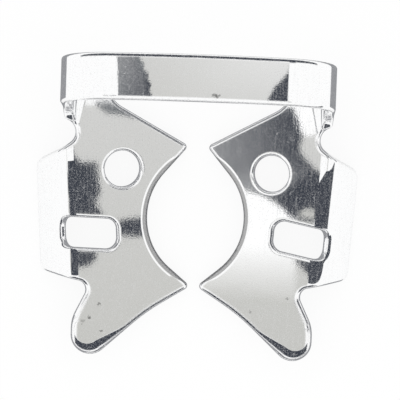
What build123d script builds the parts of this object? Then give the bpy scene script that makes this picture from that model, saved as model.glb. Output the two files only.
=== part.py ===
from build123d import *
import os
from math import atan, atan2, cos, degrees, radians, sin, sqrt, tan

# Rubber dam clamp, all sizes in millimetres and degrees.
# One strip of spring steel, stamped flat and folded: two jaw plates that fall towards the tooth,
# a wing folded down outside each jaw, and a bow that joins the jaws behind the tooth.
# X runs across the jaws, +Y towards the bow, +Z up.

# Sheet
sheet_thickness = 0.8
edge_rounding = 0.25

# Folds, the start of the wing fold by its inset from the bow's leg and its y
jaw_slope = 14.0
wing_droop = 47.0
wing_fold_radius = 0.5
wing_fold_splay = 4.0
wing_fold_start = (0.45, -1.65)
wing_length = 3.06
wing_corner_radius = 0.8
neck_fold_radius = 2.2

# Bow
bow_outer_width = 22.2
bow_strip_width = 3.75
bow_height = 12.9
bow_crown_radius = 45.0
bow_shoulder_radius = 4.6
bow_lean = 8.0
bow_front_foot = 6.97
leg_joint_rise = 0.6
crotch_rise = 0.18
crotch_radius = 1.6

# Jaw outline in plan: each corner has its inset from the bow's leg, its y and its rounding
rear_notch = (1.35, 5.47)
rear_notch_radius = 1.05
neck_front_angle = 22.0
wing_rear_angle = 39.0
wing_front_angle = 13.0
front_notch = (1.91, -7.34)
front_notch_radius = 0.8
lobe_side_inset = 0.46
lobe_shoulder_y = -10.3
lobe_shoulder_radius = 3.0
lobe_corner_y = -15.13
lobe_end_radius = 1.6
lobe_waist = (6.5, -9.66)
lobe_waist_radius = 17.0
tooth_arc_corner = (4.06, -2.27)
tooth_arc_radius = 5.5
neck_waist = (3.4, 7.7)
neck_waist_radius = 2.5
neck_rear_angle = 60.0

# Prongs in plan, by their distance from the middle and their y
front_prong = (0.2, -7.45)
rear_prong = (0.7, 4.25)
prong_radius = 0.35

# Holes, by their inset from the bow's leg and their y
forceps_hole = (4.18, 2.24)
forceps_hole_diameter = 3.0
slot_centre = (1.53, -3.16)
slot_width = 2.5
slot_length_on_jaw = 3.45
slot_reach_on_wing = 0.2
slot_corner_radius = 0.9
slot_skew = 7.0

# Reach of the outlines and cutters past the sheet
outline_reach = 18.0
cutter_depth = 8.0
slot_cutter_above = 1.0
fold_margin = 0.03
seam_margin = 0.08
lobe_seam_drop = 0.2

# An edge is rounded where its faces turn by more than this; an edge lies along a line above this cosine
corner_angle = 20.0
along_limit = 0.7

slope = radians(jaw_slope)
fold_angle = jaw_slope + wing_droop
fold = radians(fold_angle)
fold_outer_radius = wing_fold_radius + sheet_thickness
slot_cutter_below = wing_fold_radius / 2
leg_outer = bow_outer_width / 2
leg_inner = leg_outer - sheet_thickness
lean = tan(radians(bow_lean))
over_bow = bow_height + sheet_thickness
crotch_height = leg_inner * tan(slope) + crotch_rise
rear_foot = bow_front_foot + bow_strip_width
bow_rear = rear_foot + (over_bow - crotch_height) * lean
neck_fold_top = (leg_inner - neck_fold_radius) * tan(slope) + neck_fold_radius / cos(slope)
leg_joint_height = neck_fold_top + leg_joint_rise
neck_rear = rear_foot + leg_joint_height * lean
neck_reach = leg_outer + leg_joint_height * tan(slope) + fold_margin

# The neck folds up behind the deepest point of the rear notch, the wing folds down in front of it
notch_upper = atan(tan(radians(neck_front_angle)) * cos(slope))
notch_lower = atan(tan(radians(wing_rear_angle)) * cos(slope))
notch_depth = rear_notch_radius / sin((notch_upper + notch_lower) / 2)
notch_heading = (notch_upper - notch_lower) / 2
notch_floor = (notch_depth * cos(notch_heading) - rear_notch_radius) * cos(slope)
neck_seam_y = rear_notch[1] + notch_depth * sin(notch_heading)
neck_fold_front_radius = (rear_notch[0] - notch_floor - fold_margin) / (1 - sin(slope))
lobe_seam_y = front_notch[1] - lobe_seam_drop

jaw_run = (cos(slope), 0, sin(slope))
jaw_normal = (-sin(slope), 0, cos(slope))
jaw_plane = Plane(origin=(0, 0, 0), x_dir=jaw_run, z_dir=jaw_normal)


def from_leg(corner):
    """Plan point of a corner given by its inset from the inner face of the bow's leg."""
    return (leg_inner - corner[0], corner[1])


def on_jaw(point):
    """Places a plan point on the sloping jaw plane."""
    return (point[0] / cos(slope), point[1])


def run_out(start, angle, reach):
    """Follows an edge from a plan point at an angle until it reaches a distance from the middle."""
    return (reach, start[1] + (reach - start[0]) * tan(radians(angle)))


def jaw_outline():
    """Outline of jaw, lobe, wing sides and neck, square to the jaw plane."""
    corners = [
        (run_out(from_leg(rear_notch), neck_front_angle, neck_reach), 0),
        (from_leg(rear_notch), rear_notch_radius),
        (run_out(from_leg(rear_notch), -wing_rear_angle, outline_reach), 0),
        (run_out(from_leg(front_notch), wing_front_angle, outline_reach), 0),
        (from_leg(front_notch), front_notch_radius),
        (from_leg((lobe_side_inset, lobe_shoulder_y)), lobe_shoulder_radius),
        (from_leg((lobe_side_inset, lobe_corner_y)), lobe_end_radius),
        (from_leg(lobe_waist), lobe_waist_radius),
        (front_prong, prong_radius),
        (from_leg(tooth_arc_corner), tooth_arc_radius),
        (rear_prong, prong_radius),
        (from_leg(neck_waist), neck_waist_radius),
        (run_out(from_leg(neck_waist), neck_rear_angle, neck_reach), 0),
    ]
    points = [on_jaw(point) for point, radius in corners]
    radii = [radius for point, radius in corners]
    edge = FilletPolyline(*points, radius=radii, close=True)
    return extrude(jaw_plane * make_face(edge), cutter_depth, both=True)


def wing_fold_plane():
    """Plane across the wing fold: x leads outwards on the jaw, y leads up from it."""
    splay = radians(wing_fold_splay)
    start_x, start_y = on_jaw(from_leg(wing_fold_start))
    across = jaw_plane.x_dir * cos(splay) - jaw_plane.y_dir * sin(splay)
    along = jaw_plane.x_dir * sin(splay) + jaw_plane.y_dir * cos(splay)
    start = jaw_plane.from_local_coords((start_x, start_y, 0))
    return Plane(origin=start, x_dir=across, z_dir=-along)


def folded_strip(inner_end, wing_end, above, below):
    """Section of the sheet from the jaw over the fold to the wing, with room above and below."""
    centre = (0, -fold_outer_radius)
    top_radius = fold_outer_radius + above
    bottom_radius = wing_fold_radius - below
    run = Vector(cos(fold), -sin(fold))
    out = Vector(sin(fold), cos(fold))
    top_start = Vector(*centre) + out * top_radius
    bottom_start = Vector(*centre) + out * bottom_radius
    top_edge = Line((inner_end, above), (0, above))
    top_edge += CenterArc(centre, top_radius, 90, -fold_angle)
    top_edge += Line(top_start, top_start + run * wing_end)
    end_edge = Line(top_start + run * wing_end, bottom_start + run * wing_end)
    bottom_edge = Line(bottom_start + run * wing_end, bottom_start)
    bottom_edge += CenterArc(centre, bottom_radius, 90 - fold_angle, fold_angle)
    bottom_edge += Line((0, -sheet_thickness - below), (inner_end, -sheet_thickness - below))
    inner_edge = Line((inner_end, -sheet_thickness - below), (inner_end, above))
    return make_face(top_edge + end_edge + bottom_edge + inner_edge)


def neck_section(y, radius):
    """Section of the neck at one station: jaw plate, fold and foot of the bow's leg."""
    centre_x = leg_inner - radius
    centre = (centre_x, centre_x * tan(slope) + radius / cos(slope))
    outer_radius = radius + sheet_thickness
    down = Vector(sin(slope), -cos(slope))
    inner_start = Vector(*centre) + down * radius
    outer_start = Vector(*centre) + down * outer_radius
    plate_top = Vector(0, 0)
    plate_bottom = plate_top + down * sheet_thickness
    edge = Line(plate_top, inner_start)
    edge += CenterArc(centre, radius, jaw_slope - 90, 90 - jaw_slope)
    edge += Line((leg_inner, centre[1]), (leg_inner, leg_joint_height))
    edge += Line((leg_inner, leg_joint_height), (leg_outer, leg_joint_height))
    edge += Line((leg_outer, leg_joint_height), (leg_outer, centre[1]))
    edge += CenterArc(centre, outer_radius, 0, jaw_slope - 90)
    edge += Line(outer_start, plate_bottom)
    edge += Line(plate_bottom, plate_top)
    return Plane.XZ.offset(-y) * make_face(edge)


def side_edges(face, along):
    """The edges of an end face that run through the sheet, not along the fold."""
    return [edge for edge in face.edges() if abs(edge.tangent_at(0.5).dot(along)) < along_limit]


def slot_cutter(skew):
    """Slot over the wing fold: its ends are square to the jaw and to the wing."""
    plane = wing_fold_plane()
    strip = folded_strip(
        -slot_length_on_jaw,
        slot_reach_on_wing,
        slot_cutter_above,
        slot_cutter_below,
    )
    cutter = extrude(plane * strip, outline_reach, both=True)
    upright = plane.y_dir * cos(fold / 2) + plane.x_dir * sin(fold / 2)
    across = plane.x_dir * cos(fold / 2) - plane.y_dir * sin(fold / 2)
    lengthwise = across * cos(radians(skew)) + plane.z_dir * sin(radians(skew))
    centre = jaw_plane.from_local_coords(on_jaw(from_leg(slot_centre)) + (0,))
    slab_plane = Plane(origin=centre, x_dir=lengthwise, z_dir=upright)
    cutter = cutter & slab_plane * Box(2 * outline_reach, slot_width, 2 * outline_reach)
    outwards = plane.x_dir * cos(fold) - plane.y_dir * sin(fold)
    inner_end = cutter.faces().sort_by(Axis(plane.origin, plane.x_dir))[0]
    wing_end = cutter.faces().sort_by(Axis(plane.origin, outwards))[-1]
    corners = side_edges(inner_end, plane.z_dir) + side_edges(wing_end, plane.z_dir)
    return fillet(corners, slot_corner_radius)


def jaw(skew):
    """One jaw with its lobe, wing, neck and holes, before its edges are rounded."""
    plane = wing_fold_plane()
    strip = folded_strip(-outline_reach, wing_length, 0, 0)
    wing = extrude(plane * strip, 2 * outline_reach, both=True)
    wing = split(wing, Plane(origin=(0, neck_seam_y, 0), z_dir=(0, -1, 0)))
    wing = split(wing, Plane(origin=(0, lobe_seam_y, 0), z_dir=(0, 1, 0)))
    lobe_centre = Pos(outline_reach / 2, lobe_seam_y - outline_reach / 2)
    lobe = extrude(jaw_plane * lobe_centre * Rectangle(outline_reach, outline_reach), -sheet_thickness)
    front_section = neck_section(neck_seam_y, neck_fold_front_radius)
    rear_section = neck_section(neck_rear, neck_fold_radius)
    neck = loft([front_section, rear_section], ruled=True)
    plate = (wing + lobe + neck) & jaw_outline()
    outwards = plane.x_dir * cos(fold) - plane.y_dir * sin(fold)
    wing_end = plate.faces().sort_by(Axis(plane.origin, outwards))[-1]
    plate = fillet(side_edges(wing_end, plane.z_dir), wing_corner_radius)
    hole_circle = Pos(*on_jaw(from_leg(forceps_hole))) * Circle(forceps_hole_diameter / 2)
    hole = extrude(jaw_plane * hole_circle, cutter_depth, both=True)
    return plate - hole - slot_cutter(skew)


def bow():
    """Right half of the bow from the leg joint to the middle, before its edges are rounded."""
    crown_centre = (0, bow_height - bow_crown_radius)
    shoulder_x = leg_outer - bow_shoulder_radius
    centre_distance = bow_crown_radius - bow_shoulder_radius
    shoulder_rise = sqrt(centre_distance**2 - shoulder_x**2)
    shoulder_centre = (shoulder_x, crown_centre[1] + shoulder_rise)
    meet_angle = degrees(atan2(shoulder_rise, shoulder_x))
    inner_crown = bow_crown_radius - sheet_thickness
    inner_shoulder = bow_shoulder_radius - sheet_thickness
    edge = CenterArc(crown_centre, bow_crown_radius, 90, meet_angle - 90)
    edge += CenterArc(shoulder_centre, bow_shoulder_radius, meet_angle, -meet_angle)
    edge += Line((leg_outer, shoulder_centre[1]), (leg_outer, leg_joint_height))
    edge += Line((leg_outer, leg_joint_height), (leg_inner, leg_joint_height))
    edge += Line((leg_inner, leg_joint_height), (leg_inner, shoulder_centre[1]))
    edge += CenterArc(shoulder_centre, inner_shoulder, 0, meet_angle)
    edge += CenterArc(crown_centre, inner_crown, meet_angle, 90 - meet_angle)
    edge += Line((0, bow_height - sheet_thickness), (0, bow_height))
    return extrude(Plane.XZ * make_face(edge), -bow_rear)


def side_outline():
    """Side outline: the strip of the bow leans back, with a round crotch over the jaw plates."""
    corners = [
        ((-outline_reach, -cutter_depth), 0),
        ((-outline_reach, crotch_height), 0),
        ((bow_front_foot, crotch_height), crotch_radius),
        ((bow_front_foot + (over_bow - crotch_height) * lean, over_bow), 0),
        ((bow_rear, over_bow), 0),
        ((rear_foot - (cutter_depth + crotch_height) * lean, -cutter_depth), 0),
    ]
    points = [point for point, radius in corners]
    radii = [radius for point, radius in corners]
    edge = FilletPolyline(*points, radius=radii, close=True)
    return extrude(Plane.YZ * make_face(edge), outline_reach, both=True)


def sharp_edges(solid):
    """Edges where two faces meet at a corner, apart from those on the plane of symmetry."""
    owners = {}
    for face in solid.faces():
        for edge in face.edges():
            owners.setdefault(edge, []).append(face)
    found = []
    for edge, faces in owners.items():
        middle = edge.position_at(0.5)
        turn = faces[0].normal_at(middle).get_angle(faces[-1].normal_at(middle))
        if turn > corner_angle and middle.X > seam_margin:
            found.append(edge)
    return found


def rounded_half(skew):
    """One half of the clamp, with the edges rounded as barrel polishing leaves them."""
    half = (jaw(skew) + bow()) & side_outline()
    return fillet(sharp_edges(half), edge_rounding)


right_half = rounded_half(slot_skew)
left_half = mirror(rounded_half(-slot_skew), Plane.YZ)
clamp = right_half + left_half

# The origin is the middle of the underside of the box round the clamp
box = clamp.bounding_box()
clamp = Pos(-box.center().X, -box.center().Y, -box.min.Z) * clamp

os.makedirs("parts", exist_ok=True)
export_step(clamp, "parts/clamp.step")
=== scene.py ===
"""Rubber dam clamp of polished spring steel, lying on a pale floor and seen from above."""
import logging
import math
from dataclasses import dataclass
from dataclasses import field
from enum import Enum

import bpy
from mathutils import Matrix
from mathutils import Vector

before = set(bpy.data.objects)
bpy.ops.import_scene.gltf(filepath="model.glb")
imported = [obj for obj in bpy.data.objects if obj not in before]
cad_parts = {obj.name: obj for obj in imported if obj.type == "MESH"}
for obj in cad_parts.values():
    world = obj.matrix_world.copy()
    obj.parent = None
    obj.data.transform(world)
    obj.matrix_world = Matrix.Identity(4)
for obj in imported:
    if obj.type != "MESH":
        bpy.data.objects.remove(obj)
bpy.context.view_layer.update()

MM = 0.001
JAW_SLOPE = 14.0

Colour = tuple[float, float, float, float]
Plan = tuple[float, float]
Range = tuple[float, float]
Value = bpy.types.NodeSocket | float | tuple[float, ...]

WHITE: Colour = (1.0, 1.0, 1.0, 1.0)
BLACK: Colour = (0.0, 0.0, 0.0, 1.0)

log = logging.getLogger("clamp_scene")


class Tone(Enum):
    """Light of a studio card as the steel mirrors it."""

    DARK = (0.052, 0.058, 0.073, 1.0)
    DUSK = (0.15, 0.16, 0.172, 1.0)
    SMOKE = (0.31, 0.315, 0.325, 1.0)
    # Painted shade: the floor's shade round the clamp, as the steel mirrors it.
    FLOOR_SHADE = (0.29, 0.295, 0.31, 1.0)
    SHADE = (0.56, 0.56, 0.535, 1.0)
    GREY = (0.64, 0.64, 0.627, 1.0)
    LIGHT = (0.8, 0.8, 0.795, 1.0)
    WHITE = (1.05, 1.05, 1.05, 1.0)


class NodeDesk:
    """Short ways to lay out the nodes of one material or world."""

    def __init__(self, tree: bpy.types.NodeTree) -> None:
        """Takes the node tree to work on."""
        self.tree = tree

    def node(
        self, kind: str, inputs: dict[str | int, Value], **settings: str | int
    ) -> bpy.types.Node:
        """Adds a node, links or sets its inputs and sets its options.

        Args:
            kind: Type name of the node.
            inputs: Socket to link or value to set, by the input's name or number.
            **settings: Options of the node.

        Returns:
            The node.
        """
        node = self.tree.nodes.new(kind)
        for name, value in settings.items():
            setattr(node, name, value)
        for name, value in inputs.items():
            if isinstance(value, bpy.types.NodeSocket):
                self.tree.links.new(value, node.inputs[name])
            else:
                node.inputs[name].default_value = value
        return node

    def math(self, operation: str, first: Value, second: Value = 0.0) -> bpy.types.NodeSocket:
        """Adds a number operation.

        Args:
            operation: Name of the operation.
            first: First number.
            second: Second number.

        Returns:
            The result.
        """
        inputs = {0: first, 1: second}
        return self.node("ShaderNodeMath", inputs, operation=operation).outputs["Value"]

    def vector(self, operation: str, first: Value, second: Value) -> bpy.types.NodeSocket:
        """Adds a vector operation that gives a vector.

        Args:
            operation: Name of the operation.
            first: First vector.
            second: Second vector.

        Returns:
            The result.
        """
        inputs = {0: first, 1: second}
        return self.node("ShaderNodeVectorMath", inputs, operation=operation).outputs["Vector"]

    def measure(self, operation: str, first: Value, second: Value) -> bpy.types.NodeSocket:
        """Adds a vector operation that gives a number.

        Args:
            operation: Name of the operation.
            first: First vector.
            second: Second vector.

        Returns:
            The result.
        """
        inputs = {0: first, 1: second}
        return self.node("ShaderNodeVectorMath", inputs, operation=operation).outputs["Value"]

    def fade(
        self, value: Value, start: Range, end: Range = (0.0, 1.0), smooth: bool = True
    ) -> bpy.types.NodeSocket:
        """Maps a range of numbers on another one and keeps the result in it.

        Args:
            value: Number to map.
            start: First and last number of the range that is read.
            end: What these two become.
            smooth: Whether the change eases in and out.

        Returns:
            The mapped number.
        """
        inputs = {
            "Value": value,
            "From Min": start[0],
            "From Max": start[1],
            "To Min": end[0],
            "To Max": end[1],
        }
        kind = "SMOOTHSTEP" if smooth else "LINEAR"
        return self.node("ShaderNodeMapRange", inputs, interpolation_type=kind).outputs["Result"]

    def noise(self, place: Value, size: float, detail: float) -> bpy.types.NodeSocket:
        """Adds a noise texture.

        Args:
            place: Place in millimetres.
            size: Size of the grains in millimetres.
            detail: How many finer layers the noise has.

        Returns:
            The noise between 0 and 1.
        """
        inputs = {"Vector": place, "Scale": 1 / size, "Detail": detail}
        return self.node("ShaderNodeTexNoise", inputs).outputs["Fac"]

    def mix(self, share: Value, first: Value, second: Value) -> bpy.types.NodeSocket:
        """Mixes two colours.

        Args:
            share: Share of the second colour.
            first: First colour.
            second: Second colour.

        Returns:
            The mixed colour.
        """
        inputs = {0: share, 6: first, 7: second}
        return self.node("ShaderNodeMix", inputs, data_type="RGBA").outputs[2]

    def blend(self, share: Value, first: Value, second: Value) -> bpy.types.NodeSocket:
        """Mixes two shaders.

        Args:
            share: Share of the second shader.
            first: First shader.
            second: Second shader.

        Returns:
            The mixed shader.
        """
        inputs = {0: share, 1: first, 2: second}
        return self.node("ShaderNodeMixShader", inputs).outputs["Shader"]

    def bump(self, height: Value, under: Value) -> bpy.types.NodeSocket:
        """Adds a bump.

        Args:
            height: Height in millimetres.
            under: Normal that the bump is laid on.

        Returns:
            The bumped normal.
        """
        inputs = {"Height": height, "Distance": MM, "Normal": under}
        return self.node("ShaderNodeBump", inputs).outputs["Normal"]


@dataclass(frozen=True)
class PhotoCamera:
    """Camera that looks down on the clamp; lengths in millimetres, angles in degrees.

    Attributes:
        aim: Point of the clamp that the angles turn about.
        tilt: How far the camera leans towards the bow.
        roll: How far the camera leans towards the right wing.
        twist: Turn of the picture about the line of sight.
        distance: From the aim to the lens.
        offset: Sideways and upward shift of the camera in its own picture plane.
        picture_width: Width of what the picture shows at the aim.
        sensor_width: Width of the camera's sensor.
        clip: Nearest and furthest distance that the camera shows.
    """

    aim: tuple[float, float, float] = (0.0, 0.5424, 2.6695)
    tilt: float = 3.71
    roll: float = 0.84
    twist: float = 1.98
    distance: float = 260.0
    offset: Plan = (0.347, -0.108)
    picture_width: float = 33.01
    sensor_width: float = 36.0
    clip: Range = (10.0, 10000.0)

    def axes(self) -> tuple[Vector, Vector, Vector]:
        """Gives the picture's right and up directions and the direction back to the camera.

        Returns:
            Right, up and back as unit vectors in the frame.
        """
        tilt = math.radians(self.tilt)
        back = Vector((math.sin(math.radians(self.roll)), math.sin(tilt), math.cos(tilt)))
        back.normalize()
        up = (Vector((0, 1, 0)) - back * back.y).normalized()
        right = up.cross(back)
        twist = math.radians(self.twist)
        turned_right = right * math.cos(twist) + up * math.sin(twist)
        turned_up = up * math.cos(twist) - right * math.sin(twist)
        return turned_right, turned_up, back

    def place(self) -> Vector:
        """Gives the camera's place.

        Returns:
            The place in millimetres.
        """
        right, up, back = self.axes()
        shift = right * self.offset[0] + up * self.offset[1]
        return Vector(self.aim) + shift + back * self.distance

    def build(self) -> bpy.types.Object:
        """Makes the camera and sets it as the scene's own.

        Returns:
            The camera object.
        """
        data = bpy.data.cameras.new("photo_camera")
        data.sensor_width = self.sensor_width
        data.lens = self.sensor_width * self.distance / self.picture_width
        data.clip_start, data.clip_end = (end * MM for end in self.clip)
        camera = bpy.data.objects.new("photo_camera", data)
        turn = Matrix(self.axes()).transposed().to_4x4()
        camera.matrix_world = Matrix.Translation(self.place() * MM) @ turn
        bpy.context.scene.collection.objects.link(camera)
        bpy.context.scene.camera = camera
        return camera


@dataclass(frozen=True)
class Lobe:
    """Tip of a front lobe, whose front edge is rounded off widely by the polish.

    Lengths are in millimetres, on the jaw plane.

    Attributes:
        centre: Middle of the tip's arc.
        radius: Radius of the tip's arc.
        along: Direction of the front edge, from the tip towards the prong.
        width: Width of the rounding at the tip.
        rim: Width of the edge that the solid rounds by itself.
        steepness: Slope of the rounding where it ends.
        taper: Length along the front edge on which the rounding narrows.
        run_out: Last part of that length, on which the rounding flattens too.
        lean: How far the rounding's own arc lies behind the tip's arc.
    """

    centre: Plan = (8.541, -11.052)
    radius: float = 1.6
    along: Plan = (-0.7512, 0.6601)
    width: float = 1.0
    rim: float = 0.25
    steepness: float = 0.64
    taper: float = 4.0
    run_out: float = 1.0
    lean: float = 0.464

    def height(self, desk: NodeDesk, jaw_place: Value) -> bpy.types.NodeSocket:
        """Height of the rounded surface over the flat jaw.

        Args:
            desk: Node desk of the material.
            jaw_place: Place on the jaw plane.

        Returns:
            The height, below zero at the lobe's front edge and zero elsewhere.
        """
        along = (*self.along, 0.0)
        front = (-self.along[1], self.along[0], 0.0)
        behind = tuple(-part * self.lean for part in front)
        offset = desk.vector("SUBTRACT", jaw_place, (*self.centre, 0.0))
        run = desk.measure("DOT_PRODUCT", offset, along)
        ahead = desk.measure("DOT_PRODUCT", offset, front)
        round_tip = desk.math("SUBTRACT", desk.measure("DISTANCE", offset, behind), self.lean)

        beside = desk.math("GREATER_THAN", run, 0.0)
        tip_reach = desk.math("MULTIPLY", desk.math("SUBTRACT", 1.0, beside), round_tip)
        reach = desk.math("ADD", tip_reach, desk.math("MULTIPLY", beside, ahead))
        width = desk.fade(run, (0.0, self.taper), (self.width, 0.0), smooth=False)

        full_depth = self.width - self.rim
        depth = desk.math("SUBTRACT", desk.math("ADD", reach, width), self.radius)
        depth = desk.math("MINIMUM", desk.math("MAXIMUM", depth, 0.0), full_depth)
        bend = -self.steepness / (2 * full_depth)
        fall = desk.math("MULTIPLY", desk.math("MULTIPLY", depth, depth), bend)
        kept = desk.fade(run, (self.taper - self.run_out, self.taper), (1.0, 0.0))
        return desk.math("MULTIPLY", fall, kept)


@dataclass(frozen=True)
class ToothArc:
    """Arc round the tooth, whose edge is ground to a satin band with a polished step beside it.

    Lengths are in millimetres, on the jaw plane.

    Attributes:
        centre: Middle of the arc.
        radius: Radius of the arc.
        band: Width of the satin band.
        seam: Width on which the satin goes over into the polish.
        step: Width of the polished step inside the band.
        steepness: Slope of the step.
        ends: Distance along the jaw at which the step starts to run out, and where it ends.
    """

    centre: Plan = (-1.423, -1.109)
    radius: float = 5.5
    band: float = 0.44
    seam: float = 0.06
    step: float = 0.14
    steepness: float = 0.2
    ends: Range = (2.0, 5.5)

    def depth(self, desk: NodeDesk, jaw_place: Value) -> bpy.types.NodeSocket:
        """Distance from the arc into the jaw.

        Args:
            desk: Node desk of the material.
            jaw_place: Place on the jaw plane.

        Returns:
            The distance.
        """
        from_centre = desk.measure("DISTANCE", jaw_place, (*self.centre, 0.0))
        return desk.math("SUBTRACT", from_centre, self.radius)

    def satin(self, desk: NodeDesk, depth: Value) -> bpy.types.NodeSocket:
        """Share of the satin band, 1 on the band and 0 inside it."""
        return desk.fade(depth, (self.band, self.band - self.seam))

    def height(self, desk: NodeDesk, depth: Value, along: Value) -> bpy.types.NodeSocket:
        """Height of the step over the flat jaw.

        Args:
            desk: Node desk of the material.
            depth: Distance from the arc.
            along: Place along the jaw.

        Returns:
            The height, below zero outside the step and zero inside it.
        """
        edge = (self.band, self.band + self.step)
        fall = desk.fade(depth, edge, (-self.step * self.steepness, 0.0), smooth=False)
        from_middle = desk.math("ABSOLUTE", desk.math("SUBTRACT", along, self.centre[1]))
        return desk.math("MULTIPLY", fall, desk.fade(from_middle, self.ends, (1.0, 0.0)))


@dataclass(frozen=True)
class Speck:
    """Small dark spot of wear; lengths in millimetres.

    Attributes:
        place: Middle of the spot in plan.
        radius: Radius of the spot.
        strength: Share of the light that the spot takes away.
        core: Part of the radius that is fully dark.
        ragged: How far the outline strays, as a part of the radius.
        outline: Part of the noise that the outline follows.
    """

    place: Plan
    radius: float
    strength: float = 0.5
    core: float = 0.4
    ragged: float = 0.5
    outline: Range = (0.3, 0.7)

    def darkness(self, desk: NodeDesk, plan: Value) -> bpy.types.NodeSocket:
        """Share of the light that the spot takes away from a place.

        Args:
            desk: Node desk of the material.
            plan: Place in plan.

        Returns:
            The share, zero away from the spot.
        """
        stray = self.radius * self.ragged
        noise = desk.noise(plan, size=self.radius, detail=1.0)
        away = desk.measure("DISTANCE", plan, (*self.place, 0.0))
        away = desk.math("ADD", away, desk.fade(noise, self.outline, (-stray, stray)))
        return desk.fade(away, (self.radius * self.core, self.radius), (self.strength, 0.0))


@dataclass(frozen=True)
class Mottle:
    """Noise pattern on the steel.

    Attributes:
        size: Size of the grains, in millimetres.
        detail: How many finer layers the noise has.
        strength: Full share of a dull pattern, or height of a bumpy one in millimetres.
        window: Part of the noise on which a dull pattern grows to its full share.
    """

    size: float
    detail: float
    strength: float
    window: Range = (0.0, 1.0)

    def noise(self, desk: NodeDesk, place: Value) -> bpy.types.NodeSocket:
        """Gives the plain noise at a place."""
        return desk.noise(place, self.size, self.detail)

    def share(self, desk: NodeDesk, place: Value) -> bpy.types.NodeSocket:
        """Gives the share of a dull pattern at a place."""
        return desk.fade(self.noise(desk, place), self.window, (0.0, self.strength))

    def height(self, desk: NodeDesk, place: Value) -> bpy.types.NodeSocket:
        """Gives the height of a bumpy pattern at a place."""
        return desk.math("MULTIPLY", self.noise(desk, place), self.strength)


LOBE_SPECKS = (
    Speck((-7.71, -8.48), 0.16),
    Speck((-8.49, -9.57), 0.16, 0.6),
    Speck((-8.97, -9.99), 0.22, 0.3),
    Speck((-7.47, -10.72), 0.14),
    Speck((4.81, -8.76), 0.14, 0.4),
    Speck((7.82, -7.5), 0.14),
)
BOW_NICK = (
    Speck((1.4, 9.44), 0.22),
    Speck((1.65, 9.38), 0.2),
)


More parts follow.
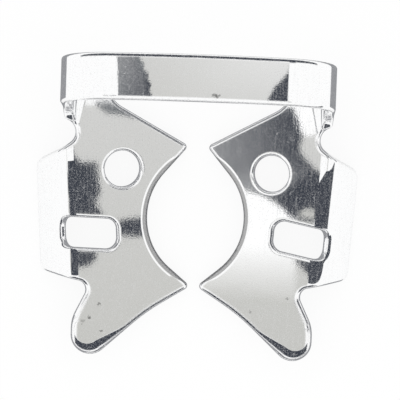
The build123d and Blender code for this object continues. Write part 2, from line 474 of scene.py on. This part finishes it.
@dataclass(frozen=True)
class PolishedSteel:
    """Mirror-polished spring steel with slight waves in the sheet, fine grain and scratches.

    Lengths are in millimetres.

    Attributes:
        colour: Base colour of the steel.
        ground_shade_colour: Base colour of the ground band round the tooth, darker as painted
            shade: the shaded floor in the gap, which the arc's edge face mirrors.
        ground_roughness: Roughness of the ground band.
        roughness: Roughness of the polish, between the scratches and in them.
        roughened: Part of the scratches' noise on which the roughness grows.
        wave: Waves in the sheet.
        grain: Grain of the polish.
        scratch: Scratches along the clamp.
        scratch_stretch: How the scratches' noise is drawn out along each axis.
        streak: Full share of the dull streaks that the scratches leave.
        streaked: Part of the scratches' noise on which the streaks grow.
        haze: Dull haze on the polish.
        dots: Scattered dull dots.
        haze_shade: How much darker the dull steel is than the polished steel.
        edge: Radius to which the polish rounds the lobes' edges and the other edges.
        edge_samples: How many rays look for each edge.
        lobe_end: Places along the jaw between which that radius changes.
        jaw_top: Height over which a place is on the bow and not on the jaws.
        lobe: Rounding of the lobes' tips.
        arc: Arc round the tooth.
        wear: Dark spots.
    """

    colour: Colour = (0.985, 0.987, 0.99, 1.0)
    # Painted shade: the ground band's darker colour stands in for the shaded floor in the gap that
    # the arc's edge face mirrors.
    ground_shade_colour: Colour = (0.48, 0.48, 0.48, 1.0)
    ground_roughness: float = 0.3
    roughness: Range = (0.012, 0.03)
    roughened: Range = (0.35, 0.65)
    wave: Mottle = Mottle(size=2.5, detail=1.0, strength=0.0012)
    grain: Mottle = Mottle(size=0.12, detail=1.0, strength=0.0002)
    scratch: Mottle = Mottle(size=0.1, detail=2.0, strength=0.00004)
    scratch_stretch: tuple[float, float, float] = (1.0, 0.05, 1.0)
    streak: float = 0.1
    streaked: Range = (0.52, 0.75)
    haze: Mottle = Mottle(size=0.11, detail=4.0, strength=0.18, window=(0.48, 0.72))
    dots: Mottle = Mottle(size=0.16, detail=0.0, strength=0.16, window=(0.7, 0.8))
    haze_shade: float = 0.45
    edge: Range = (0.4, 0.22)
    edge_samples: int = 12
    lobe_end: Range = (-8.5, -6.0)
    jaw_top: float = 4.5
    lobe: Lobe = Lobe()
    arc: ToothArc = ToothArc()
    wear: tuple[Speck, ...] = LOBE_SPECKS + BOW_NICK

    def dullness(self, desk: NodeDesk, place: Value, scratches: Value) -> bpy.types.NodeSocket:
        """Share of the surface that is dull and scatters light.

        Args:
            desk: Node desk of the material.
            place: Place on the clamp.
            scratches: Noise of the scratches.

        Returns:
            The share.
        """
        streaks = desk.fade(scratches, self.streaked, (0.0, self.streak))
        hazy = desk.math("ADD", self.haze.share(desk, place), streaks)
        return desk.math("ADD", hazy, self.dots.share(desk, place))

    def shade(
        self, desk: NodeDesk, place: Value, ground: Value, dull: Value
    ) -> bpy.types.NodeSocket:
        """Colour of the steel with its dull haze, its dark spots and its ground band, whose darker
        colour is painted shade.

        Args:
            desk: Node desk of the material.
            place: Place on the clamp.
            ground: Share of the ground band.
            dull: Share of the dull haze.

        Returns:
            The colour.
        """
        colour = desk.mix(ground, self.colour, self.ground_shade_colour)
        colour = desk.mix(desk.math("MULTIPLY", dull, self.haze_shade), colour, BLACK)
        plan = desk.vector("MULTIPLY", place, (1.0, 1.0, 0.0))
        for speck in self.wear:
            colour = desk.mix(speck.darkness(desk, plan), colour, BLACK)
        return colour

    def relief(
        self, desk: NodeDesk, place: Value, along: Value, shape: Value, scratches: Value
    ) -> bpy.types.NodeSocket:
        """Normal of the polished surface.

        Args:
            desk: Node desk of the material.
            place: Place on the clamp.
            along: Place along the jaws.
            shape: Height of the lobes' rounding and of the arc's step.
            scratches: Noise of the scratches.

        Returns:
            The normal.
        """
        radius = desk.math("MULTIPLY", desk.fade(along, self.lobe_end, self.edge), MM)
        edge = desk.node("ShaderNodeBevel", {"Radius": radius}, samples=self.edge_samples)
        waves = self.wave.height(desk, place)
        sheet = desk.bump(desk.math("ADD", shape, waves), edge.outputs["Normal"])
        cuts = desk.math("MULTIPLY", scratches, self.scratch.strength)
        return desk.bump(desk.math("ADD", self.grain.height(desk, place), cuts), sheet)

    def material(self) -> bpy.types.Material:
        """Builds the node material.

        Returns:
            The finished material.
        """
        steel = bpy.data.materials.new("polished_steel")
        steel.use_nodes = True
        desk = NodeDesk(steel.node_tree)

        object_place = desk.node("ShaderNodeTexCoord", {}).outputs["Object"]
        place = desk.vector("DIVIDE", object_place, (MM, MM, MM))
        parts = desk.node("ShaderNodeSeparateXYZ", {"Vector": place}).outputs
        level_share = math.cos(math.radians(JAW_SLOPE))
        across = desk.math("DIVIDE", desk.math("ABSOLUTE", parts["X"]), level_share)
        jaw_inputs = {"X": across, "Y": parts["Y"], "Z": 0.0}
        jaw_place = desk.node("ShaderNodeCombineXYZ", jaw_inputs).outputs["Vector"]
        on_jaw = desk.math("LESS_THAN", parts["Z"], self.jaw_top)

        arc_depth = self.arc.depth(desk, jaw_place)
        # The ground band's share gives its satin roughness and its darker colour, which is painted
        # shade.
        ground = desk.math("MULTIPLY", self.arc.satin(desk, arc_depth), on_jaw)
        step = self.arc.height(desk, arc_depth, parts["Y"])
        shape = desk.math("ADD", self.lobe.height(desk, jaw_place), step)
        shape = desk.math("MULTIPLY", shape, on_jaw)

        scratches = self.scratch.noise(desk, desk.vector("MULTIPLY", place, self.scratch_stretch))
        polish = desk.fade(scratches, self.roughened, self.roughness)
        satin = desk.math("MULTIPLY", ground, self.ground_roughness)
        dull = self.dullness(desk, place, scratches)
        sockets = {
            "Base Color": self.shade(desk, place, ground, dull),
            "Metallic": desk.math("SUBTRACT", 1.0, dull),
            "Roughness": desk.math("MAXIMUM", polish, satin),
            "Normal": self.relief(desk, place, parts["Y"], shape, scratches),
        }
        shader = steel.node_tree.nodes["Principled BSDF"]
        for name, value in sockets.items():
            steel.node_tree.links.new(value, shader.inputs[name])
        return steel


@dataclass
class Clamp:
    """The folded clamp: the solid of the frame, dressed in polished steel.

    Attributes:
        node: Name of the frame's node.
        steel: Finish of the clamp.
    """

    node: str = "clamp"
    steel: PolishedSteel = field(default_factory=PolishedSteel)

    def build(self) -> bpy.types.Object:
        """Takes the clamp's node from the frame."""
        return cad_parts[self.node]

    def dress(self, clamp: bpy.types.Object) -> None:
        """Puts the steel on the clamp."""
        clamp.data.materials.clear()
        clamp.data.materials.append(self.steel.material())


@dataclass(frozen=True)
class JawFace:
    """Top of one jaw as a mirror.

    Attributes:
        side: 1 for the right jaw and -1 for the left one.
        slope: Angle at which the jaw falls towards the tooth, in degrees.
        rise: Height of the jaw plane over the middle of the clamp, in millimetres.
    """

    side: int
    slope: float = JAW_SLOPE
    rise: float = 0.6695

    def place(self, x: float, y: float) -> tuple[Vector, Vector]:
        """Gives the point over a plan point and the normal there.

        Args:
            x: Plan place across the jaws.
            y: Plan place along the jaws.

        Returns:
            The point in millimetres and the normal.
        """
        slope = math.radians(self.slope)
        point = Vector((x, y, self.rise + abs(x) * math.tan(slope)))
        return point, Vector((-self.side * math.sin(slope), 0, math.cos(slope)))


@dataclass(frozen=True)
class BowFace:
    """Crown of the bow as a mirror.

    Attributes:
        radius: Radius of the crown, in millimetres.
        top: Height of the crown, in millimetres.
    """

    radius: float = 45.0
    top: float = 13.5695

    def place(self, x: float, y: float) -> tuple[Vector, Vector]:
        """Gives the point over a plan point and the normal there.

        Args:
            x: Plan place across the jaws.
            y: Plan place along the jaws.

        Returns:
            The point in millimetres and the normal.
        """
        drop = math.sqrt(self.radius**2 - x**2)
        point = Vector((x, y, self.top - self.radius + drop))
        return point, Vector((x / self.radius, 0, drop / self.radius))


def glowing_card(name: str, corners: list[Vector], tones: tuple[Tone, ...]) -> bpy.types.Object:
    """Makes a flat glowing card that only mirrors see.

    Args:
        name: Name of the card.
        corners: Its corners in order, in millimetres.
        tones: Light at each corner, or one for all of them.

    Returns:
        The card's object.
    """
    mesh = bpy.data.meshes.new(name)
    mesh.from_pydata([tuple(corner * MM) for corner in corners], [], [range(len(corners))])
    paint = mesh.color_attributes.new(name="tone", type="FLOAT_COLOR", domain="POINT")
    corner_tones = tones * len(corners) if len(tones) == 1 else tones
    for spot, tone in zip(paint.data, corner_tones):
        spot.color = tone.value
    glow = bpy.data.materials.new(name)
    glow.use_nodes = True
    glow.node_tree.nodes.clear()
    desk = NodeDesk(glow.node_tree)
    colour = desk.node("ShaderNodeAttribute", {}, attribute_name="tone").outputs["Color"]
    light = desk.node("ShaderNodeEmission", {"Color": colour}).outputs["Emission"]
    desk.node("ShaderNodeOutputMaterial", {"Surface": light})
    mesh.materials.append(glow)
    card = bpy.data.objects.new(name, mesh)
    bpy.context.scene.collection.objects.link(card)
    card.visible_camera = False
    card.visible_diffuse = False
    card.visible_shadow = False
    card.visible_transmission = False
    return card


@dataclass(frozen=True)
class Card:
    """Studio card, placed so that a face of the clamp mirrors it to the camera.

    Attributes:
        name: Name of the card.
        face: Face that mirrors the card.
        seen: Plan corners on that face between which the card shows, in millimetres.
        height: Height of the card over the floor, in millimetres.
        tones: Light at each corner, or one for all of them.
    """

    name: str
    face: JawFace | BowFace
    seen: tuple[Plan, ...]
    height: float
    tones: tuple[Tone, ...]

    def corner(self, eye: Vector, x: float, y: float) -> Vector:
        """Follows the camera's ray from the face up to the card.

        Args:
            eye: The camera's place in millimetres.
            x: Plan place across the jaws.
            y: Plan place along the jaws.

        Returns:
            The card's corner in millimetres.
        """
        point, normal = self.face.place(x, y)
        sight = (eye - point).normalized()
        ray = 2 * normal.dot(sight) * normal - sight
        return point + ray * ((self.height - point.z) / ray.z)

    def build(self, eye: Vector) -> bpy.types.Object:
        """Makes the card for a camera at the given place in millimetres."""
        corners = [self.corner(eye, x, y) for x, y in self.seen]
        return glowing_card(self.name, corners, self.tones)


@dataclass(frozen=True)
class Flag:
    """Level card given by its place in the studio, in millimetres.

    Attributes:
        name: Name of the flag.
        tone: Light of the flag.
        height: Height over the floor.
        corners: Its corners in plan.
    """

    name: str
    tone: Tone
    height: float
    corners: tuple[Plan, ...]

    def build(self) -> bpy.types.Object:
        """Makes the flag."""
        corners = [Vector((x, y, self.height)) for x, y in self.corners]
        return glowing_card(self.name, corners, (self.tone,))


@dataclass
class Studio:
    """Pale floor, white surroundings and the cards and flags that the clamp mirrors.

    Attributes:
        cards: Cards over the clamp, placed by the faces that mirror them.
        flags: Level flags round the clamp.
        floor_size: Side of the floor, in millimetres.
        floor_colour: Colour of the floor.
        floor_white: Share of plain white in what the camera sees of the floor.
        floor_mirrored: Part of that share in what the steel mirrors of the floor.
        room_light: Strength of the white room as a light.
    """

    cards: tuple[Card, ...]
    flags: tuple[Flag, ...]
    floor_size: float = 3000.0
    floor_colour: Colour = (0.9, 0.9, 0.9, 1.0)
    floor_white: float = 0.9
    floor_mirrored: float = 0.4
    room_light: float = 1.12

    def floor(self) -> bpy.types.Object:
        """Makes the pale floor, which keeps the clamp's shadow.

        Returns:
            The floor's object.
        """
        half = self.floor_size * MM / 2
        mesh = bpy.data.meshes.new("floor")
        corners = [(-half, -half, 0), (half, -half, 0), (half, half, 0), (-half, half, 0)]
        mesh.from_pydata(corners, [], [(0, 1, 2, 3)])
        pale = bpy.data.materials.new("pale_floor")
        pale.use_nodes = True
        pale.node_tree.nodes.clear()
        desk = NodeDesk(pale.node_tree)
        matt = desk.node("ShaderNodeBsdfDiffuse", {"Color": self.floor_colour})
        white = desk.node("ShaderNodeEmission", {"Color": WHITE, "Strength": 1.0})
        path = desk.node("ShaderNodeLightPath", {}).outputs
        mirrored = desk.math("MULTIPLY", path["Is Glossy Ray"], self.floor_mirrored)
        seen = desk.math("ADD", mirrored, path["Is Camera Ray"])
        share = desk.math("MULTIPLY", seen, self.floor_white)
        surface = desk.blend(share, matt.outputs["BSDF"], white.outputs["Emission"])
        desk.node("ShaderNodeOutputMaterial", {"Surface": surface})
        mesh.materials.append(pale)
        floor = bpy.data.objects.new("floor", mesh)
        bpy.context.scene.collection.objects.link(floor)
        return floor

    def surroundings(self) -> None:
        """Makes the white room, plain white to the camera and to mirrors."""
        world = bpy.data.worlds.new("white_room")
        bpy.context.scene.world = world
        world.use_nodes = True
        world.node_tree.nodes.clear()
        desk = NodeDesk(world.node_tree)
        light = desk.node("ShaderNodeBackground", {"Color": WHITE, "Strength": self.room_light})
        plain = desk.node("ShaderNodeBackground", {"Color": WHITE, "Strength": 1.0})
        path = desk.node("ShaderNodeLightPath", {}).outputs
        seen = desk.math("MAXIMUM", path["Is Camera Ray"], path["Is Glossy Ray"])
        seen = desk.math("MAXIMUM", seen, path["Is Transmission Ray"])
        room = desk.blend(seen, light.outputs["Background"], plain.outputs["Background"])
        desk.node("ShaderNodeOutputWorld", {"Surface": room})

    def build(self, eye: Vector) -> list[bpy.types.Object]:
        """Builds the whole studio.

        Args:
            eye: The camera's place in millimetres.

        Returns:
            The studio's objects.
        """
        self.surroundings()
        made = [self.floor()]
        made.extend(card.build(eye) for card in self.cards)
        made.extend(flag.build() for flag in self.flags)
        return made


LEFT_JAW = JawFace(side=-1)
RIGHT_JAW = JawFace(side=1)
BOW = BowFace()

# A lower card hides a higher one, so the pale bases hang highest and the patches under them.
BASE_HEIGHT = 256.0
GLOW_HEIGHT = 253.0
PATCH_HEIGHT = 250.0
SPOT_HEIGHT = 249.0
EDGE_HEIGHT = 20.0
FOLD_HEIGHT = 8.0
FLOOR_HEIGHT = 0.02

CARDS = (
    Card(
        name="left_base",
        face=LEFT_JAW,
        seen=((-14, 8), (0, 8), (0, -13.5), (-14, -13.5)),
        height=BASE_HEIGHT,
        tones=(Tone.GREY, Tone.GREY, Tone.SHADE, Tone.SHADE),
    ),
    Card(
        name="right_base",
        face=RIGHT_JAW,
        seen=((14, 8), (0, 8), (0, -13.5), (14, -13.5)),
        height=BASE_HEIGHT,
        tones=(Tone.GREY, Tone.GREY, Tone.SHADE, Tone.SHADE),
    ),
    Card(
        name="bow_base",
        face=BOW,
        seen=((-5, 7), (7.1, 7), (7.0, 14), (-5, 14)),
        height=BASE_HEIGHT,
        tones=(Tone.SHADE, Tone.GREY, Tone.LIGHT, Tone.GREY),
    ),
    Card(
        name="bow_left_flag",
        face=BOW,
        seen=(
            (-6.25, 7), (-3.6, 7), (-3.7, 8.4), (-3.5, 8.9), (-3.8, 9.5), (-3.6, 10), (-3.95, 10.5),
            (-3.85, 11), (-4.3, 11.4), (-4.2, 11.9), (-4.55, 12.3), (-4.85, 14), (-6.25, 14),
        ),
        height=PATCH_HEIGHT,
        tones=(Tone.DUSK,) + (Tone.DARK,) * 7 + (Tone.DUSK,) * 3 + (Tone.SMOKE,) * 2,
    ),
    Card(
        name="bow_right_flag",
        face=BOW,
        seen=((6.99, 12.28), (7.11, 7), (4.6, 7)),
        height=PATCH_HEIGHT,
        tones=(Tone.DARK,),
    ),
    Card(
        name="left_neck_flag",
        face=LEFT_JAW,
        seen=((-8.6, 8.3), (-5.5, 8.3), (-5.1, 7.0), (-6.5, 7.3), (-7.7, 7.4), (-8.3, 7.9)),
        height=PATCH_HEIGHT,
        tones=(Tone.DUSK,),
    ),
    Card(
        name="left_crease_flag",
        face=LEFT_JAW,
        seen=(
            (-16, 4.1), (-10.5, 4.1), (-9.6, 3.2), (-8.3, 3.2),
            (-7.9, 1.0), (-8.2, -0.3), (-7.6, -1.2), (-16, -1.2),
        ),
        height=PATCH_HEIGHT,
        tones=(Tone.DARK,),
    ),
    Card(
        name="left_corner_flag",
        face=LEFT_JAW,
        seen=((-16, -4), (-8, -4), (-8.1, -4.6), (-8.6, -5.2), (-10.2, -5.7), (-16, -5.8)),
        height=PATCH_HEIGHT,
        tones=(Tone.DARK,),
    ),
    Card(
        name="left_arc_flag",
        face=LEFT_JAW,
        seen=((-6.6, -1.65), (-4, -1.1), (-4, -2.75), (-6.6, -2.8)),
        height=PATCH_HEIGHT,
        tones=(Tone.DARK,),
    ),
    Card(
        name="right_jaw_flag",
        face=RIGHT_JAW,
        seen=(
            (0, 8.3), (7.75, 8.3), (8.65, 5.95), (8.45, 4.9), (8.95, 4.1), (9.7, 3.5), (10.6, 2.9),
            (22, 2.9), (22, -1.5), (8.6, -1.05), (7.8, -0.6), (6.55, 0.4), (5.45, 0.9), (4.3, 1.3),
            (0, 1.8),
        ),
        height=PATCH_HEIGHT,
        tones=(Tone.SMOKE,) + (Tone.DARK,) * 11 + (Tone.SMOKE,) * 3,
    ),
    Card(
        name="right_neck_card",
        face=RIGHT_JAW,
        seen=((7.9, 8.3), (10.2, 8.3), (10.2, 6.3), (8.9, 6), (8.3, 6.7)),
        height=SPOT_HEIGHT,
        tones=(Tone.WHITE,),
    ),
    Card(
        name="right_slot_card",
        face=RIGHT_JAW,
        seen=((8.5, -0.3), (9.4, 0.1), (10.4, -0.4), (10.5, -0.8), (8.7, -0.75)),
        height=SPOT_HEIGHT,
        tones=(Tone.SHADE,),
    ),
    Card(
        name="right_corner_flag",
        face=RIGHT_JAW,
        seen=((8.4, -4), (22, -4), (22, -6), (10.8, -6), (10.3, -5.85), (9.4, -5.3), (8.6, -4.6)),
        height=PATCH_HEIGHT,
        tones=(Tone.DARK,),
    ),
    Card(
        name="right_glow",
        face=RIGHT_JAW,
        seen=((0, 2.5), (5.4, 2.3), (7.5, 0.5), (8.4, -0.9), (8.4, -3.0), (0, -3.0)),
        height=GLOW_HEIGHT,
        tones=(Tone.WHITE,),
    ),
    Card(
        name="right_glow_end",
        face=RIGHT_JAW,
        seen=((0, -3.0), (8.4, -3.0), (8.4, -8.0), (0, -8.0)),
        height=GLOW_HEIGHT,
        tones=(Tone.WHITE, Tone.WHITE, Tone.SHADE, Tone.SHADE),
    ),
)

FLAGS = (
    Flag(
        name="left_fold_flag",
        tone=Tone.DARK,
        height=FOLD_HEIGHT,
        corners=((-8.1, 3.1), (-7.35, -6.6), (-12.1, -6.9), (-12.1, 2.8)),
    ),
    Flag(
        name="right_fold_flag",
        tone=Tone.DARK,
        height=FOLD_HEIGHT,
        corners=((8.1, 1.9), (7.35, -6.6), (12, -6.9), (37, -8.6), (37, 1), (12, 2.7)),
    ),
    Flag(
        name="front_flag",
        tone=Tone.DARK,
        height=EDGE_HEIGHT,
        corners=((-12, -13.6), (-4, -14.3), (4, -14.3), (12, -13.6), (70, -75), (-70, -75)),
    ),
    Flag(
        name="rear_flag",
        tone=Tone.DARK,
        height=EDGE_HEIGHT,
        corners=((-60, 13.2), (60, 13.2), (60, 40), (-60, 40)),
    ),
    Flag(
        name="left_rear_flag",
        tone=Tone.DARK,
        height=PATCH_HEIGHT,
        corners=((86, 12), (145, 12), (192, 80), (86, 85)),
    ),
    # Painted shade: dim sheets just over the floor, which only mirrors see, stand in for the
    # floor's shade round the clamp.
    Flag(
        name="rear_floor_shade_flag",
        tone=Tone.FLOOR_SHADE,
        height=FLOOR_HEIGHT,
        corners=((-25, 6), (25, 6), (25, 27), (-25, 27)),
    ),
    Flag(
        name="gap_floor_shade_flag",
        tone=Tone.FLOOR_SHADE,
        height=FLOOR_HEIGHT,
        corners=((-11.5, -7), (11.5, -7), (11.5, 6), (-11.5, 6)),
    ),
    Flag(
        name="front_floor_shade_flag",
        tone=Tone.FLOOR_SHADE,
        height=FLOOR_HEIGHT,
        corners=((-16, -27), (16, -27), (16, -7), (-16, -7)),
    ),
)


def main() -> None:
    """Builds the clamp, the studio and the camera, and reports each piece."""
    logging.basicConfig(level=logging.INFO)
    bpy.context.scene.view_settings.view_transform = "Standard"
    camera = PhotoCamera()
    camera.build()
    clamp = Clamp()
    piece = clamp.build()
    clamp.dress(piece)
    log.info("piece %s with %d faces", piece.name, len(piece.data.polygons))
    studio = Studio(cards=CARDS, flags=FLAGS)
    for part in studio.build(camera.place()):
        log.info("studio %s", part.name)


if __name__ == "__main__":
    main()
